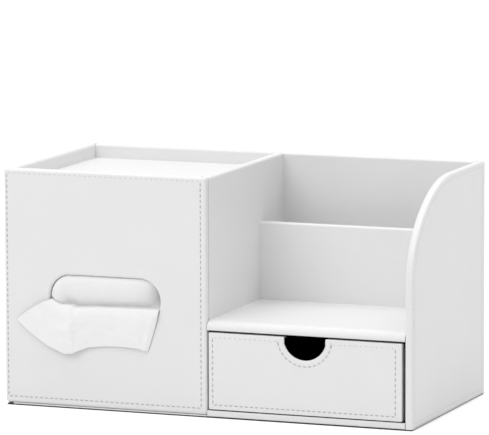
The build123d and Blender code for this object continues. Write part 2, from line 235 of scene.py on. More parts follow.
# ---- modelling steps, as done by hand ----
def clear_selection():
    """Leaves edit mode, with nothing selected."""
    if bpy.context.mode != "OBJECT":
        bpy.ops.object.mode_set(mode="OBJECT")
    bpy.ops.object.select_all(action="DESELECT")


def work_on(piece):
    """Makes the piece the only selected one."""
    clear_selection()
    piece.select_set(True)
    bpy.context.view_layer.objects.active = piece


def settle(name):
    """Names the new object and puts its place and size into its mesh."""
    piece = bpy.context.object
    piece.name = piece.data.name = name
    bpy.ops.object.transform_apply(location=True, rotation=True, scale=True)
    return piece


def board_between(name, low, high):
    """A block between two corners, to be shaped further."""
    clear_selection()
    bpy.ops.mesh.primitive_cube_add(size=1, location=(low + high) / 2, scale=high - low)
    return settle(name)


def near(a, b):
    """Whether two places on an axis are the same."""
    return abs(a - b) < NEAR


def ends(edge):
    """Where an edge's two points lie."""
    return [point.co for point in edge.verts]


def looking(mesh, facing):
    """The faces that look one way."""
    return [face for face in mesh.faces if face.normal.dot(facing) > FACING]


def pick(piece, kind, choose):
    """In edit mode, selects only the points, edges or faces that choose() finds in the mesh."""
    bpy.ops.mesh.select_mode(type=kind)
    bpy.ops.mesh.select_all(action="DESELECT")
    mesh = bmesh.from_edit_mesh(piece.data)
    for found in choose(mesh):
        found.select_set(True)
    if kind == "VERT":
        mesh.select_flush(True)
    bmesh.update_edit_mesh(piece.data)


def pick_points(piece, test):
    """Selects only the points whose place passes the test."""
    pick(piece, "VERT", lambda mesh: [point for point in mesh.verts if test(point.co)])


def pick_edges(piece, test):
    """Selects only the edges whose two ends pass the test."""
    pick(piece, "EDGE", lambda mesh: [edge for edge in mesh.edges if test(*ends(edge))])


def pick_sharp_edges(piece, test):
    """Selects only the sharp edges whose two ends pass the test."""

    def choose(mesh):
        sharp = (edge for edge in mesh.edges if edge.calc_face_angle(0) > SHARP)
        return [edge for edge in sharp if test(*ends(edge))]

    pick(piece, "EDGE", choose)


def pick_widest_face(piece, facing):
    """Selects only the largest face that looks one way."""

    def choose(mesh):
        return [max(looking(mesh, facing), key=lambda face: face.calc_area())]

    pick(piece, "FACE", choose)


def along(direction):
    """Test for edges that run along a direction."""
    return lambda a, b: abs((b - a).normalized().dot(direction)) > PARALLEL


def on_level(axis, value):
    """Test for edges that lie at one level of an axis."""
    return lambda a, b: near(a[axis], value) and near(b[axis], value)


def above(level):
    """Test for edges that reach above a height."""
    return lambda a, b: max(a.z, b.z) > level + NEAR


def forward_of(box):
    """Test for edges that reach further forward than the back of a box."""
    return lambda a, b: min(a.y, b.y) < box[1].y - NEAR


def both(first, second):
    """Test for edges that pass two tests."""
    return lambda a, b: first(a, b) and second(a, b)


def anywhere(a, b):
    """Test that every edge passes."""
    return True


def round_edges(piece, test, radius, segments):
    """In edit mode, rounds the sharp edges whose two ends pass the test."""
    pick_sharp_edges(piece, test)
    bpy.ops.mesh.bevel(offset=radius, offset_type="OFFSET", segments=segments, affect="EDGES")


def apply_modifier(piece, kind, **settings):
    """Adds a modifier with its settings, and applies it."""
    work_on(piece)
    modifier = piece.modifiers.new(kind.title(), kind)
    for name, value in settings.items():
        setattr(modifier, name, value)
    bpy.ops.object.modifier_apply(modifier=modifier.name)


def cut_with(piece, cutter):
    """Cuts the cutter's shape out of the piece, and deletes the cutter."""
    apply_modifier(piece, "BOOLEAN", object=cutter, operation="DIFFERENCE", solver="EXACT")
    bpy.data.objects.remove(cutter)


def swell(piece, spot, height):
    """Raises and lowers the surface in cloudy spots, by half the height each way."""
    clouds = bpy.data.textures.new("clouds", "CLOUDS")
    clouds.noise_scale = spot
    apply_modifier(piece, "DISPLACE", texture=clouds, texture_coords="LOCAL", strength=height)


def smooth_board(piece):
    """Smooth wrapped edges between flat faces."""
    work_on(piece)
    bpy.ops.object.shade_smooth_by_angle(angle=SHADED_FLAT)
    apply_modifier(piece, "WEIGHTED_NORMAL", keep_sharp=True)


def shift(piece, test, step):
    """In edit mode, moves only the points whose place passes the test."""
    pick_points(piece, test)
    bpy.ops.transform.translate(value=step)


def press_seam(piece, facing, inset, fit, sizes):
    """Presses the stitched channel into the face that looks one way. Its line starts evenly inset,
    fit() brings it to where it runs, and then the cover dips and comes up again."""
    half = sizes.channel_width / 2
    pick_widest_face(piece, facing)
    bpy.ops.mesh.inset(thickness=inset - half, depth=0)
    fit(inset - half)
    pick_widest_face(piece, facing)
    for depth in (-sizes.channel_depth, sizes.channel_depth):
        bpy.ops.mesh.inset(thickness=half, depth=depth)


def hollow(cover, box, sizes):
    """Hollows a front's cover from behind, so that a skin is left round its board."""
    low, high = box

    def behind(mesh):
        return [face for face in looking(mesh, BACK) if near(face.calc_center_median().y, high.y)]

    pick(cover, "FACE", behind)
    bpy.ops.mesh.inset(thickness=sizes.leather, depth=0)
    step = FRONT * (high.y - low.y - sizes.leather)
    bpy.ops.mesh.extrude_region_move(TRANSFORM_OT_translate={"value": step})


def post(name, place, radius, depth, sides):
    """A round post along the depth of the box."""
    clear_selection()
    bpy.ops.mesh.primitive_cylinder_add(
        vertices=sides, radius=radius, depth=depth, location=place, rotation=(math.pi / 2, 0, 0)
    )
    return settle(name)


def stretch(piece, middle, reach):
    """Pulls the two halves of a round post apart, into a bar with round ends."""
    bpy.ops.object.mode_set(mode="EDIT")
    for side in (-1, 1):
        shift(piece, lambda place: (place.x - middle) * side > NEAR, RIGHT * side * reach)
    bpy.ops.object.mode_set(mode="OBJECT")


def slot_bar(name, sizes, margin, y_low, y_high):
    """A bar of the slot's outline, smaller by a margin."""
    radius = sizes.slot_height / 2 - margin
    middle = Vector((FLAP[0].x + sizes.slot_across, (y_low + y_high) / 2, sizes.slot_above))
    bar = post(name, middle, radius, y_high - y_low, SLOT_SIDES)
    stretch(bar, middle.x, (sizes.slot_width - sizes.slot_height) / 2)
    return bar


# ---- stitches ----
# Bends of a stitch: from and to, as shares of its length from its middle, and the dip in threads.
STITCH_ENDS = (0.45, 0.55, 0.75)
STITCH_SHOULDERS = (0.2, 0.3, 0.12)


def model_stitch(sizes):
    """One stitch along X: a round thread whose ends dip into their needle holes."""
    clear_selection()
    bpy.ops.mesh.primitive_cylinder_add(
        vertices=THREAD_SIDES,
        radius=sizes.thread / 2,
        depth=sizes.stitch_length,
        rotation=(0, math.pi / 2, 0),
    )
    stitch = settle("stitch")
    bpy.ops.object.mode_set(mode="EDIT")
    pick_edges(stitch, along(RIGHT))
    bpy.ops.mesh.subdivide(number_cuts=3)
    for near_end, far_end, dip in (STITCH_ENDS, STITCH_SHOULDERS):
        shift(
            stitch,
            lambda place: near_end < abs(place.x) / sizes.stitch_length < far_end,
            DOWN * sizes.thread * dip,
        )
    bpy.ops.object.mode_set(mode="OBJECT")
    bpy.ops.object.shade_smooth()
    return stitch


def stitch_places(run, pitch):
    """Middle and direction of each stitch on a run of points, evenly spaced from end to end."""
    spans = list(zip(run, run[1:]))
    total = sum((b - a).length for a, b in spans)
    count = max(1, round(total / pitch))
    for number in range(count):
        left_over = (number + 0.5) * total / count
        for a, b in spans:
            if left_over <= (b - a).length or (a, b) == spans[-1]:
                break
            left_over -= (b - a).length
        direction = (b - a).normalized()
        yield a + direction * left_over, direction


def sew(name, runs, outwards, sizes):
    """Stitches along every run, joined into one piece. A run is its points, and how far its thread
    stands above the bottom of the channel."""
    stitch = model_stitch(sizes)
    copies = []
    for points, proud in runs:
        lift = outwards * (proud - sizes.channel_depth - sizes.thread / 2)
        for place, direction in stitch_places(points, sizes.stitch_pitch):
            copy = stitch.copy()
            copy.data = stitch.data.copy()
            across = outwards.cross(direction)
            turn = Matrix((direction, across, outwards)).transposed().to_4x4()
            copy.data.transform(Matrix.Translation(place + lift) @ turn)
            bpy.context.scene.collection.objects.link(copy)
            copies.append(copy)
    clear_selection()
    for copy in copies:
        copy.select_set(True)
    bpy.context.view_layer.objects.active = copies[0]
    bpy.ops.object.join()
    bpy.data.objects.remove(stitch)
    thread = bpy.context.object
    thread.name = thread.data.name = name
    return thread


def arc_points(middle, start, axis, angle, steps):
    """Points on an arc that starts at a place and turns about an axis through the middle."""
    turns = [Matrix.Rotation(angle * i / steps, 3, axis) for i in range(steps + 1)]
    return [middle + turn @ (start - middle) for turn in turns]


# ---- finishes ----
CLOUDS = (0.3, 0.7)      # noise hardly goes below or above these values


class Finish:
    """A material being put together from nodes."""

    def __init__(self, name, **settings):
        self.material = bpy.data.materials.new(name)
        self.material.use_nodes = True
        self.tree = self.material.node_tree
        self.shader = self.tree.nodes["Principled BSDF"]
        for socket, value in settings.items():
            self.shader.inputs[socket.replace("_", " ")].default_value = value
        self.coordinates = self.node("ShaderNodeTexCoord")

    def node(self, kind, inputs=None, **settings):
        """A new node. Each input is a value, or the output that leads into it."""
        node = self.tree.nodes.new(kind)
        for name, value in settings.items():
            setattr(node, name, value)
        for name, value in (inputs or {}).items():
            if isinstance(value, bpy.types.NodeSocket):
                self.tree.links.new(value, node.inputs[name])
            else:
                node.inputs[name].default_value = value
        return node

    def place(self, scale=(1, 1, 1)):
        """Object coordinates, stretched."""
        inputs = {"Vector": self.coordinates.outputs["Object"], "Scale": scale}
        return self.node("ShaderNodeMapping", inputs).outputs["Vector"]

    def spots(self, per_metre, detail=2.0, roughness=0.5, place=None):
        """Cloudy noise with so many spots to the metre."""
        inputs = {"Vector": place or self.place(), "Scale": per_metre}
        inputs.update({"Detail": detail, "Roughness": roughness})
        return self.node("ShaderNodeTexNoise", inputs).outputs["Fac"]

    def between(self, noise_value, low, high):
        """Noise brought into a range."""
        inputs = {"Value": noise_value, "From Min": CLOUDS[0], "From Max": CLOUDS[1]}
        inputs.update({"To Min": low, "To Max": high})
        return self.node("ShaderNodeMapRange", inputs).outputs["Result"]

    def blend(self, share, low, high):
        """Base colour that goes from one colour to another as the share goes from 0 to 1."""
        inputs = {"Factor": share, "A": low, "B": high}
        mix = self.node("ShaderNodeMix", inputs, data_type="RGBA").outputs["Result"]
        self.link(mix, "Base Color")
        return mix

    def tint(self, share, base, darker):
        """The base colour, going to a darker share of itself where the share is 0."""
        return self.blend(share, [channel * darker for channel in base] + [1], [*base, 1])

    def reckon(self, operation, *values, kind="ShaderNodeMath"):
        """The result of one step of arithmetic."""
        return self.node(kind, dict(enumerate(values)), operation=operation).outputs[0]

    def inside(self, low, high):
        """1 in a box between two corners, and 0 outside it."""
        vector = {"kind": "ShaderNodeVectorMath"}
        place = self.coordinates.outputs["Object"]
        off_middle = self.reckon("SUBTRACT", place, (low + high) / 2, **vector)
        off_middle = self.reckon("ABSOLUTE", off_middle, **vector)
        share = self.reckon("DIVIDE", off_middle, (high - low) / 2, **vector)
        x, y, z = self.node("ShaderNodeSeparateXYZ", {0: share}).outputs
        most = self.reckon("MAXIMUM", self.reckon("MAXIMUM", x, y), z)
        return self.reckon("LESS_THAN", most, 1.0)

    def relief(self, height, metres, below=None):
        """Bumps of a real height, on top of others."""
        inputs = {"Height": height, "Distance": metres, "Strength": 1.0}
        if below is not None:
            inputs["Normal"] = below
        return self.node("ShaderNodeBump", inputs).outputs["Normal"]

    def link(self, output, socket):
        """Leads an output into the shader."""
        self.tree.links.new(output, self.shader.inputs[socket])


def grained(finish, colours):
    """Fine pebble grain and the soft unevenness of the board below."""
    pebbles = finish.node(
        "ShaderNodeTexVoronoi",
        {"Vector": finish.place(), "Scale": 1500.0, "Randomness": 0.9},
        feature="SMOOTH_F1",
    )
    slow = finish.spots(18, detail=1)
    pores = finish.spots(420, detail=3)
    normal = finish.relief(slow, 0.5 * MM)
    normal = finish.relief(pores, 0.02 * MM, normal)
    normal = finish.relief(pebbles.outputs["Distance"], 0.03 * MM, normal)
    finish.link(normal, "Normal")
    colour_share = finish.between(finish.spots(30, detail=4), 0, 1)
    return finish.tint(colour_share, colours.leather, 0.985), finish.between(pores, 0.38, 0.47)


def leathercloth(colours):
    """White coated leathercloth."""
    finish = Finish("white_leathercloth", Coat_Weight=0.08, Coat_Roughness=0.3)
    _, shine = grained(finish, colours)
    finish.link(shine, "Roughness")
    return finish.material


def bay_shaded_leathercloth(colours):
    """White leathercloth, turned black and matt inside the drawer's bay: painted shade, in the velvet's
    colour, for the gaps round the drawer front.
    """
    finish = Finish("bay_shaded_leathercloth", Coat_Weight=0.08, Coat_Roughness=0.3)
    white, shine = grained(finish, colours)
    # Painted shade: the bay's faces turn black, in the velvet's colour with its spots, and matt.
    in_painted_shade = finish.inside(*BAY_PAINTED_SHADE)
    black = finish.tint(finish.spots(3000, detail=2), colours.velvet, 0.6)
    finish.blend(in_painted_shade, white, black)
    finish.link(finish.reckon("MAXIMUM", shine, in_painted_shade), "Roughness")
    return finish.material


def sewing_thread(colours):
    """Twisted thread, in a grey that is painted shade of its groove and needle holes, on a thread that
    is white.
    """
    finish = Finish("sewing_thread", Roughness=0.6, Sheen_Weight=0.2)
    strands = finish.node(
        "ShaderNodeTexWave",
        {"Vector": finish.place(), "Scale": 600.0, "Distortion": 0.6},
        bands_direction="DIAGONAL",
    ).outputs["Fac"]
    finish.tint(strands, colours.thread, 0.8)
    finish.link(finish.relief(strands, 0.08 * MM), "Normal")
    return finish.material


def tissue_paper(colours):
    """Soft two-ply tissue with a faint crepe."""
    finish = Finish("tissue_paper", Roughness=0.95, Sheen_Weight=0.15, Sheen_Roughness=0.6)
    crepe = finish.spots(900, detail=4, place=finish.place((1, 1, 0.3)))
    fibres = finish.spots(2600, detail=2)
    finish.tint(finish.between(finish.spots(120, detail=4), 0, 1), colours.tissue, 0.98)
    normal = finish.relief(crepe, 0.06 * MM)
    finish.link(finish.relief(fibres, 0.02 * MM, normal), "Normal")
    return finish.material


def pack_paper(colours):
    """Edges of many folded tissues: fine layers from front to back."""
    finish = Finish("packed_tissues", Roughness=0.95, Sheen_Weight=0.15, Sheen_Roughness=0.6)
    layers = finish.spots(220, detail=5, roughness=0.7, place=finish.place((0.02, 3.0, 0.02)))
    finish.tint(finish.between(layers, 0, 1), colours.tissue, 0.9)
    normal = finish.relief(layers, 0.35 * MM)
    finish.link(finish.relief(finish.spots(700, detail=3), 0.05 * MM, normal), "Normal")
    return finish.material


def drawer_paper(colours):
    """Matt paper glued over fibreboard."""
    finish = Finish("drawer_paper", Roughness=0.8)
    fibres = finish.spots(1600, detail=4, place=finish.place((1, 0.3, 1)))
    finish.tint(finish.between(finish.spots(60, detail=5), 0, 1), colours.paper, 0.96)
    finish.link(finish.between(fibres, 0.74, 0.86), "Roughness")
    finish.link(finish.relief(fibres, 0.02 * MM), "Normal")
    return finish.material


def velvet(colours):
    """Short black pile, brushed unevenly."""
    finish = Finish("drawer_velvet", Roughness=1.0, Sheen_Weight=0.5, Sheen_Roughness=0.35)
    brushed = finish.spots(45, detail=4, roughness=0.6)
    pile = finish.spots(3000, detail=2)
    finish.tint(finish.between(brushed, 0, 1), colours.velvet, 0.55)
    finish.link(finish.relief(pile, 0.25 * MM, finish.relief(brushed, 0.6 * MM)), "Normal")
    return finish.material


def felt(colours):
    """Matted black fibres."""
    finish = Finish("base_felt_pad", Roughness=1.0, Sheen_Weight=0.3, Sheen_Roughness=0.5)
    matted = finish.spots(500, detail=8, roughness=0.75)
    finish.tint(finish.between(matted, 0, 1), colours.felt, 0.5)
    finish.link(finish.relief(matted, 0.3 * MM), "Normal")
    return finish.material


def fibreboard(colours):
    """Bare fibreboard under the covers."""
    finish = Finish("fibreboard", Roughness=0.85)
    specks = finish.spots(900, detail=6, roughness=0.7)
    finish.blend(specks, [*colours.fibre_dark, 1], [*colours.fibre_light, 1])
    finish.link(finish.relief(specks, 0.05 * MM), "Normal")
    return finish.material


def plated_steel(colours):
    """Plated disc magnet with fine turning marks."""
    finish = Finish("plated_steel", Metallic=1.0, Roughness=0.32)
    marks = finish.spots(2500, detail=3, place=finish.place((1, 1, 0.05)))
    finish.tint(marks, colours.steel, 0.85)
    finish.link(finish.between(marks, 0.24, 0.42), "Roughness")
    finish.link(finish.relief(marks, 0.01 * MM), "Normal")
    return finish.material


FINISHES = {
    "leathercloth": (leathercloth, "white_leather"),
    "bay shaded leathercloth": (bay_shaded_leathercloth, "white_leather"),
    "thread": (sewing_thread, "white_leather"),
    "tissue": (tissue_paper, "tissue"),
    "pack": (pack_paper, "tissue"),
    "paper": (drawer_paper, "wrapped_board"),
    "velvet": (velvet, "black_velvet"),
    "felt": (felt, "black_felt"),
    "fibreboard": (fibreboard, "board"),
    "steel": (plated_steel, "magnet_steel"),
}
made_finishes = {}


def finish_of(kind):
    """The material of a finish, made when it is first needed."""
    if kind not in made_finishes:
        maker, _ = FINISHES[kind]
        made_finishes[kind] = maker(bpy.context.scene.tissue_box_colours)
    return made_finishes[kind]


def dress(piece, kind, body, *nodes):
    """Gives a finished piece its material and its body, and hides the nodes that it stands for."""
    piece.data.materials.clear()
    piece.data.materials.append(finish_of(kind))
    if nodes:
        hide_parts(*nodes)
    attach(piece, body)


# ---- the flap ----
def flap_seam(sizes):
    """Corners of the flap's stitch line, from the lower left round to the left again."""
    low, high = FLAP
    left, right = low.x + sizes.flap_seam_left, high.x - sizes.flap_seam_right
    bottom, top = low.z + sizes.flap_seam_bottom, high.z - sizes.flap_seam_top
    return [
        Vector((x, low.y, z))
        for x, z in ((left, bottom), (right, bottom), (right, top), (left, top), (left, bottom))
    ]


class TISSUE_BOX_OT_flap_cover(bpy.types.Operator):
    """Leathercloth wrapped over the front flap, sewn all round and turned into the slot"""

    bl_idname = "tissue_box.flap_cover"
    bl_label = "Flap cover"

    def execute(self, context):
        sizes = context.scene.tissue_box_sizes
        low, high = FLAP
        cover = board_between("flap_cover", low, high)
        bpy.ops.object.mode_set(mode="EDIT")
        inset = sizes.flap_seam_left

        def fit(edge):
            right, top = sizes.flap_seam_right - inset, sizes.flap_seam_top - inset
            bottom = sizes.flap_seam_bottom - inset
            shift(cover, lambda p: near(p.x, high.x - edge), LEFT * right)
            shift(cover, lambda p: near(p.z, high.z - edge), DOWN * top)
            shift(cover, lambda p: near(p.z, low.z + edge), UP * bottom)

        press_seam(cover, FRONT, inset, fit, sizes)
        round_edges(cover, forward_of(FLAP), sizes.wrap_round, WRAP_SEGMENTS)
        round_edges(cover, anywhere, sizes.seam_round, SEAM_SEGMENTS)
        bpy.ops.object.mode_set(mode="OBJECT")
        cut_with(cover, slot_bar("slot_cutter", sizes, 0, low.y - PAST, high.y + PAST))
        bpy.ops.object.mode_set(mode="EDIT")
        round_edges(cover, on_level(Y, low.y), sizes.slot_round, RIM_SEGMENTS)
        hollow(cover, FLAP, sizes)
        smooth_board(cover)
        dress(cover, "leathercloth", "flap", "flap_leather")
        return {"FINISHED"}


class TISSUE_BOX_OT_flap_stitches(bpy.types.Operator):
    """Row of stitches all round the front flap"""

    bl_idname = "tissue_box.flap_stitches"
    bl_label = "Flap stitches"

    def execute(self, context):
        sizes = context.scene.tissue_box_sizes
        corners = flap_seam(sizes)
        proud, tight = sizes.thread_proud, sizes.thread_tight
        runs = list(zip(zip(corners, corners[1:]), (proud, proud, tight, proud)))
        thread = sew("flap_stitches", runs, FRONT, sizes)
        dress(thread, "thread", "flap")
        return {"FINISHED"}


# ---- the drawer ----
def notch_middle():
    """Middle of the finger notch, on the upper edge of the drawer front."""
    low, high = DRAWER_FRONT
    return Vector(((low.x + high.x) / 2, low.y, high.z))


def drawer_seam(sizes):
    """Runs of the drawer front's stitch line: both upper stretches, round the notch and the sides."""
    low, high = DRAWER_FRONT
    left, right = low.x + sizes.drawer_seam_left, high.x - sizes.drawer_seam_right
    bottom, top = low.z + sizes.drawer_seam_bottom, high.z - sizes.drawer_seam_top
    middle = notch_middle()
    radius = sizes.notch_radius + sizes.notch_seam
    dip = math.asin(sizes.drawer_seam_top / radius)
    reach = radius * math.cos(dip)
    a, b, c, d, e, f = (
        Vector((x, low.y, z))
        for x, z in (
            (middle.x - reach, top),
            (left, top),
            (left, bottom),
            (right, bottom),
            (right, top),
            (middle.x + reach, top),
        )
    )
    notch = arc_points(middle, f, BACK, math.pi - 2 * dip, NOTCH_SEAM_STEPS)
    proud, tight = sizes.thread_proud, sizes.thread_tight
    sides = [((b, c), proud), ((c, d), proud), ((d, e), proud), (notch, proud)]
    return [*sides, ((a, b), tight), ((e, f), tight)]


class TISSUE_BOX_OT_drawer_front(bpy.types.Operator):
    """Leathercloth wrapped over the drawer front and into its finger notch"""

    bl_idname = "tissue_box.drawer_front"
    bl_label = "Drawer front cover"

    def execute(self, context):
        sizes = context.scene.tissue_box_sizes
        low, high = DRAWER_FRONT
        middle = notch_middle()
        cover = board_between("drawer_front_cover", low, high)
        through = 2 * (high.y - low.y + PAST)
        cut_with(cover, post("notch_cutter", middle, sizes.notch_radius, through, NOTCH_SIDES))
        bpy.ops.object.mode_set(mode="EDIT")
        inset = sizes.drawer_seam_left

        def fit(edge):
            right, bottom = sizes.drawer_seam_right - inset, sizes.drawer_seam_bottom - inset
            top = sizes.drawer_seam_top - inset
            ring = sizes.notch_radius + edge
            shift(cover, lambda p: near(p.x, high.x - edge), LEFT * right)
            shift(cover, lambda p: near(p.z, low.z + edge), UP * bottom)

            def on_ring(p):
                return abs((p - middle).xz.length - ring) < RING_PLAY and p.y < high.y

            pick_points(cover, on_ring)
            share = (ring + sizes.notch_seam - inset) / ring
            bpy.ops.transform.resize(value=(share, 1, share), center_override=middle)
            shift(cover, lambda p: abs(p.z - high.z + edge) < RING_PLAY * 2, DOWN * top)

        press_seam(cover, FRONT, inset, fit, sizes)
        round_edges(cover, self.on_notch_rim, sizes.notch_lip, WRAP_SEGMENTS)
        round_edges(cover, forward_of(DRAWER_FRONT), sizes.drawer_round, EDGE_SEGMENTS)
        hollow(cover, DRAWER_FRONT, sizes)
        smooth_board(cover)
        dress(cover, "leathercloth", "drawer", "drawer_front_leather")
        return {"FINISHED"}

    @staticmethod
    def on_notch_rim(a, b):
        radius = bpy.context.scene.tissue_box_sizes.notch_radius
        return all(
            near(place.y, DRAWER_FRONT[0].y) and near((place - notch_middle()).xz.length, radius)
            for place in (a, b)
        )


class TISSUE_BOX_OT_drawer_stitches(bpy.types.Operator):
    """Row of stitches round the drawer front and its notch"""

    bl_idname = "tissue_box.drawer_stitches"
    bl_label = "Drawer stitches"

    def execute(self, context):
        sizes = context.scene.tissue_box_sizes
        thread = sew("drawer_stitches", drawer_seam(sizes), FRONT, sizes)
        dress(thread, "thread", "drawer")
        return {"FINISHED"}


class TISSUE_BOX_OT_drawer_boards(bpy.types.Operator):
    """Sides, back and bottom of the drawer, paper folded over their edges"""

    bl_idname = "tissue_box.drawer_boards"
    bl_label = "Drawer boards"

    def execute(self, context):
        sizes = context.scene.tissue_box_sizes
        for node in ("drawer_side_left", "drawer_side_right", "drawer_back", "drawer_bottom"):
            board = board_between(f"{node}_board", *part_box(node))
            bpy.ops.object.mode_set(mode="EDIT")
            round_edges(board, anywhere, sizes.paper_round, EDGE_SEGMENTS)
            smooth_board(board)
            dress(board, "paper", "drawer", node)
        return {"FINISHED"}


# ---- walls, shelf and divider ----
class TISSUE_BOX_OT_wall_covers(bpy.types.Operator):
    """Leathercloth over the left, centre and back walls, the shelf and the divider"""

    bl_idname = "tissue_box.wall_covers"
    bl_label = "Wall covers"

    def execute(self, context):
        sizes = context.scene.tissue_box_sizes
        self.left_wall(sizes)
        # The centre wall's faces in the drawer's bay get painted shade.
        self.upright_board("centre_wall", BACK, sizes, "bay shaded leathercloth")
        self.upright_board("back", RIGHT, sizes)
        self.upright_board("divider", RIGHT, sizes)
        self.shelf(sizes)
        return {"FINISHED"}

    @staticmethod
    def upright_board(name, direction, sizes, finish="leathercloth"):
        """A wall whose top edges are wrapped along its length."""
        node = f"{name}_leather"
        low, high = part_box(node)
        cover = board_between(f"{name}_cover", low, high)
        bpy.ops.object.mode_set(mode="EDIT")
        wrapped = both(on_level(Z, high.z), along(direction))
        round_edges(cover, wrapped, sizes.wrap_round, WRAP_SEGMENTS)
        smooth_board(cover)
        dress(cover, finish, "carcass", node)

    @staticmethod
    def left_wall(sizes):
        """The left wall also turns round the back corner of the box. Its inner top edge is only
        rounded as far as the back wall, which it meets in a mitre."""
        low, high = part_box("left_wall_leather")
        corner = BACK_WALL[0].y
        cover = board_between("left_wall_cover", low, high)
        bpy.ops.object.mode_set(mode="EDIT")
        bpy.ops.mesh.select_all(action="SELECT")
        bpy.ops.mesh.bisect(plane_co=(0, corner, 0), plane_no=BACK)
        outside = on_level(X, low.x)
        top = both(on_level(Z, high.z), along(BACK))
        behind = both(on_level(Y, high.y), along(UP))

        def wrapped(a, b):
            before_corner = max(a.y, b.y) < corner + NEAR
            if outside(a, b):
                return top(a, b) or behind(a, b)
            return top(a, b) and before_corner

        round_edges(cover, wrapped, sizes.wrap_round, WRAP_SEGMENTS)
        smooth_board(cover)
        dress(cover, "leathercloth", "carcass", "left_wall_leather")

    @staticmethod
    def shelf(sizes):
        """Shelf with its round nose."""
        low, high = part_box("shelf_leather")
        cover = board_between("shelf_cover", low, high)
        bpy.ops.object.mode_set(mode="EDIT")
        front = on_level(Y, low.y)
        for level, radius, segments in (
            (high.z, sizes.nose_round, NOSE_SEGMENTS),
            (low.z, sizes.nose_under_round, RIM_SEGMENTS),
        ):
            round_edges(cover, both(front, on_level(Z, level)), radius, segments)
        smooth_board(cover)
        # Its underside over the drawer's bay gets painted shade.
        dress(cover, "bay shaded leathercloth", "carcass", "shelf_leather")


# ---- the side panel ----
def panel_outline(sizes, inset=0.0):
    """The two arcs of the side panel's front edge, or of a line evenly inside it, as points."""
    low, high = SIDE_PANEL
    lower, upper = sizes.curve_front_radius, sizes.curve_top_radius
    rise = lower * math.sin(EIGHTH_TURN) + upper * (1 - math.cos(EIGHTH_TURN))
    middle = Vector((high.x, low.y + lower, high.z - rise))
    start = middle + FRONT * (lower - inset)
    arc_low = arc_points(middle, start, LEFT, EIGHTH_TURN, LOWER_CURVE_STEPS)
    slant = (middle - arc_low[-1]).normalized()
    middle += slant * (upper - lower)
    return arc_low, arc_points(middle, arc_low[-1], LEFT, EIGHTH_TURN, UPPER_CURVE_STEPS)


class TISSUE_BOX_OT_side_panel(bpy.types.Operator):
    """Leathercloth over the curved side panel, sewn along its outside"""

    bl_idname = "tissue_box.side_panel"
    bl_label = "Side panel cover"

    def execute(self, context):
        sizes = context.scene.tissue_box_sizes
        low, high = SIDE_PANEL
        arc_low, arc_high = panel_outline(sizes)
        start = arc_low[0]
        clear_selection()
        bpy.ops.mesh.primitive_plane_add(size=1 * MM, location=(low.x, low.y, low.z))
        cover = settle("side_panel_cover")
        bpy.ops.object.mode_set(mode="EDIT")
        bpy.ops.mesh.select_mode(type="VERT")
        bpy.ops.mesh.select_all(action="SELECT")
        bpy.ops.mesh.merge(type="CENTER")
        self.draw_to(UP * (start.z - low.z))
        lower_start = Vector((low.x, start.y, start.z))
        self.swing(sizes.curve_front_radius, BACK, lower_start, LOWER_CURVE_STEPS)
        upper_start = Vector((low.x, arc_low[-1].y, arc_low[-1].z))
        slant = (BACK - UP).normalized()
        self.swing(sizes.curve_top_radius, slant, upper_start, UPPER_CURVE_STEPS)
        self.draw_to(BACK * (high.y - arc_high[-1].y))
        self.draw_to(DOWN * (high.z - low.z))
        bpy.ops.mesh.select_all(action="SELECT")
        bpy.ops.mesh.remove_doubles(threshold=NEAR)
        bpy.ops.mesh.edge_face_add()
        bpy.ops.mesh.extrude_region_move(TRANSFORM_OT_translate={"value": RIGHT * (high.x - low.x)})
        bpy.ops.mesh.select_all(action="SELECT")
        bpy.ops.mesh.normals_make_consistent(inside=False)
        inset = sizes.panel_seam_front
        forward = FRONT * (sizes.panel_seam_back - inset)

        def fit(edge):
            shift(cover, lambda p: near(p.y, high.y - edge), forward)

        press_seam(cover, RIGHT, inset, fit, sizes)
        round_edges(cover, above(low.z), sizes.wrap_round, WRAP_SEGMENTS)
        smooth_board(cover)
        # Its inner face beside the drawer's bay gets painted shade.
        dress(cover, "bay shaded leathercloth", "carcass", "side_panel_leather")
        return {"FINISHED"}

    @staticmethod
    def draw_to(step):
        """Draws the outline on from its last point, by a straight step."""
        bpy.ops.mesh.extrude_vertices_move(TRANSFORM_OT_translate={"value": step})

    @staticmethod
    def swing(radius, inwards, start, steps):
        """Spins the last point through an eighth of a turn."""
        middle = start + inwards * radius
        bpy.ops.mesh.spin(steps=steps, angle=EIGHTH_TURN, center=middle, axis=RIGHT)


class TISSUE_BOX_OT_panel_stitches(bpy.types.Operator):
    """Row of stitches all round the outside of the side panel"""

    bl_idname = "tissue_box.panel_stitches"
    bl_label = "Side panel stitches"

    def execute(self, context):
        sizes = context.scene.tissue_box_sizes
        low, high = SIDE_PANEL
        inset = sizes.panel_seam_front
        arc_low, arc_high = panel_outline(sizes, inset)
        bottom, back = low.z + inset, high.y - sizes.panel_seam_back
        front_foot = Vector((high.x, low.y + inset, bottom))
        back_foot = Vector((high.x, back, bottom))
        back_top = Vector((high.x, back, high.z - inset))
        edge = [front_foot, *arc_low, *arc_high[1:], back_top]
        lines = (edge, (back_top, back_foot), (back_foot, front_foot))
        thread = sew("panel_stitches", [(line, sizes.thread_tight) for line in lines], RIGHT, sizes)
        dress(thread, "thread", "carcass")
        return {"FINISHED"}


# ---- tissues ----
def ramp(value, start, end):
    """0 up to the start, 1 from the end on, and evenly rising between them."""
    return min(1.0, max(0.0, (value - start) / (end - start)))


PACK_VOXEL = 2.0 * MM
PACK_SMOOTHING = 6
PACK_DENTS = (18 * MM, 1.2 * MM)     # size of the uneven spots, and their height
PACK_CREASES = (6 * MM, 0.4 * MM)


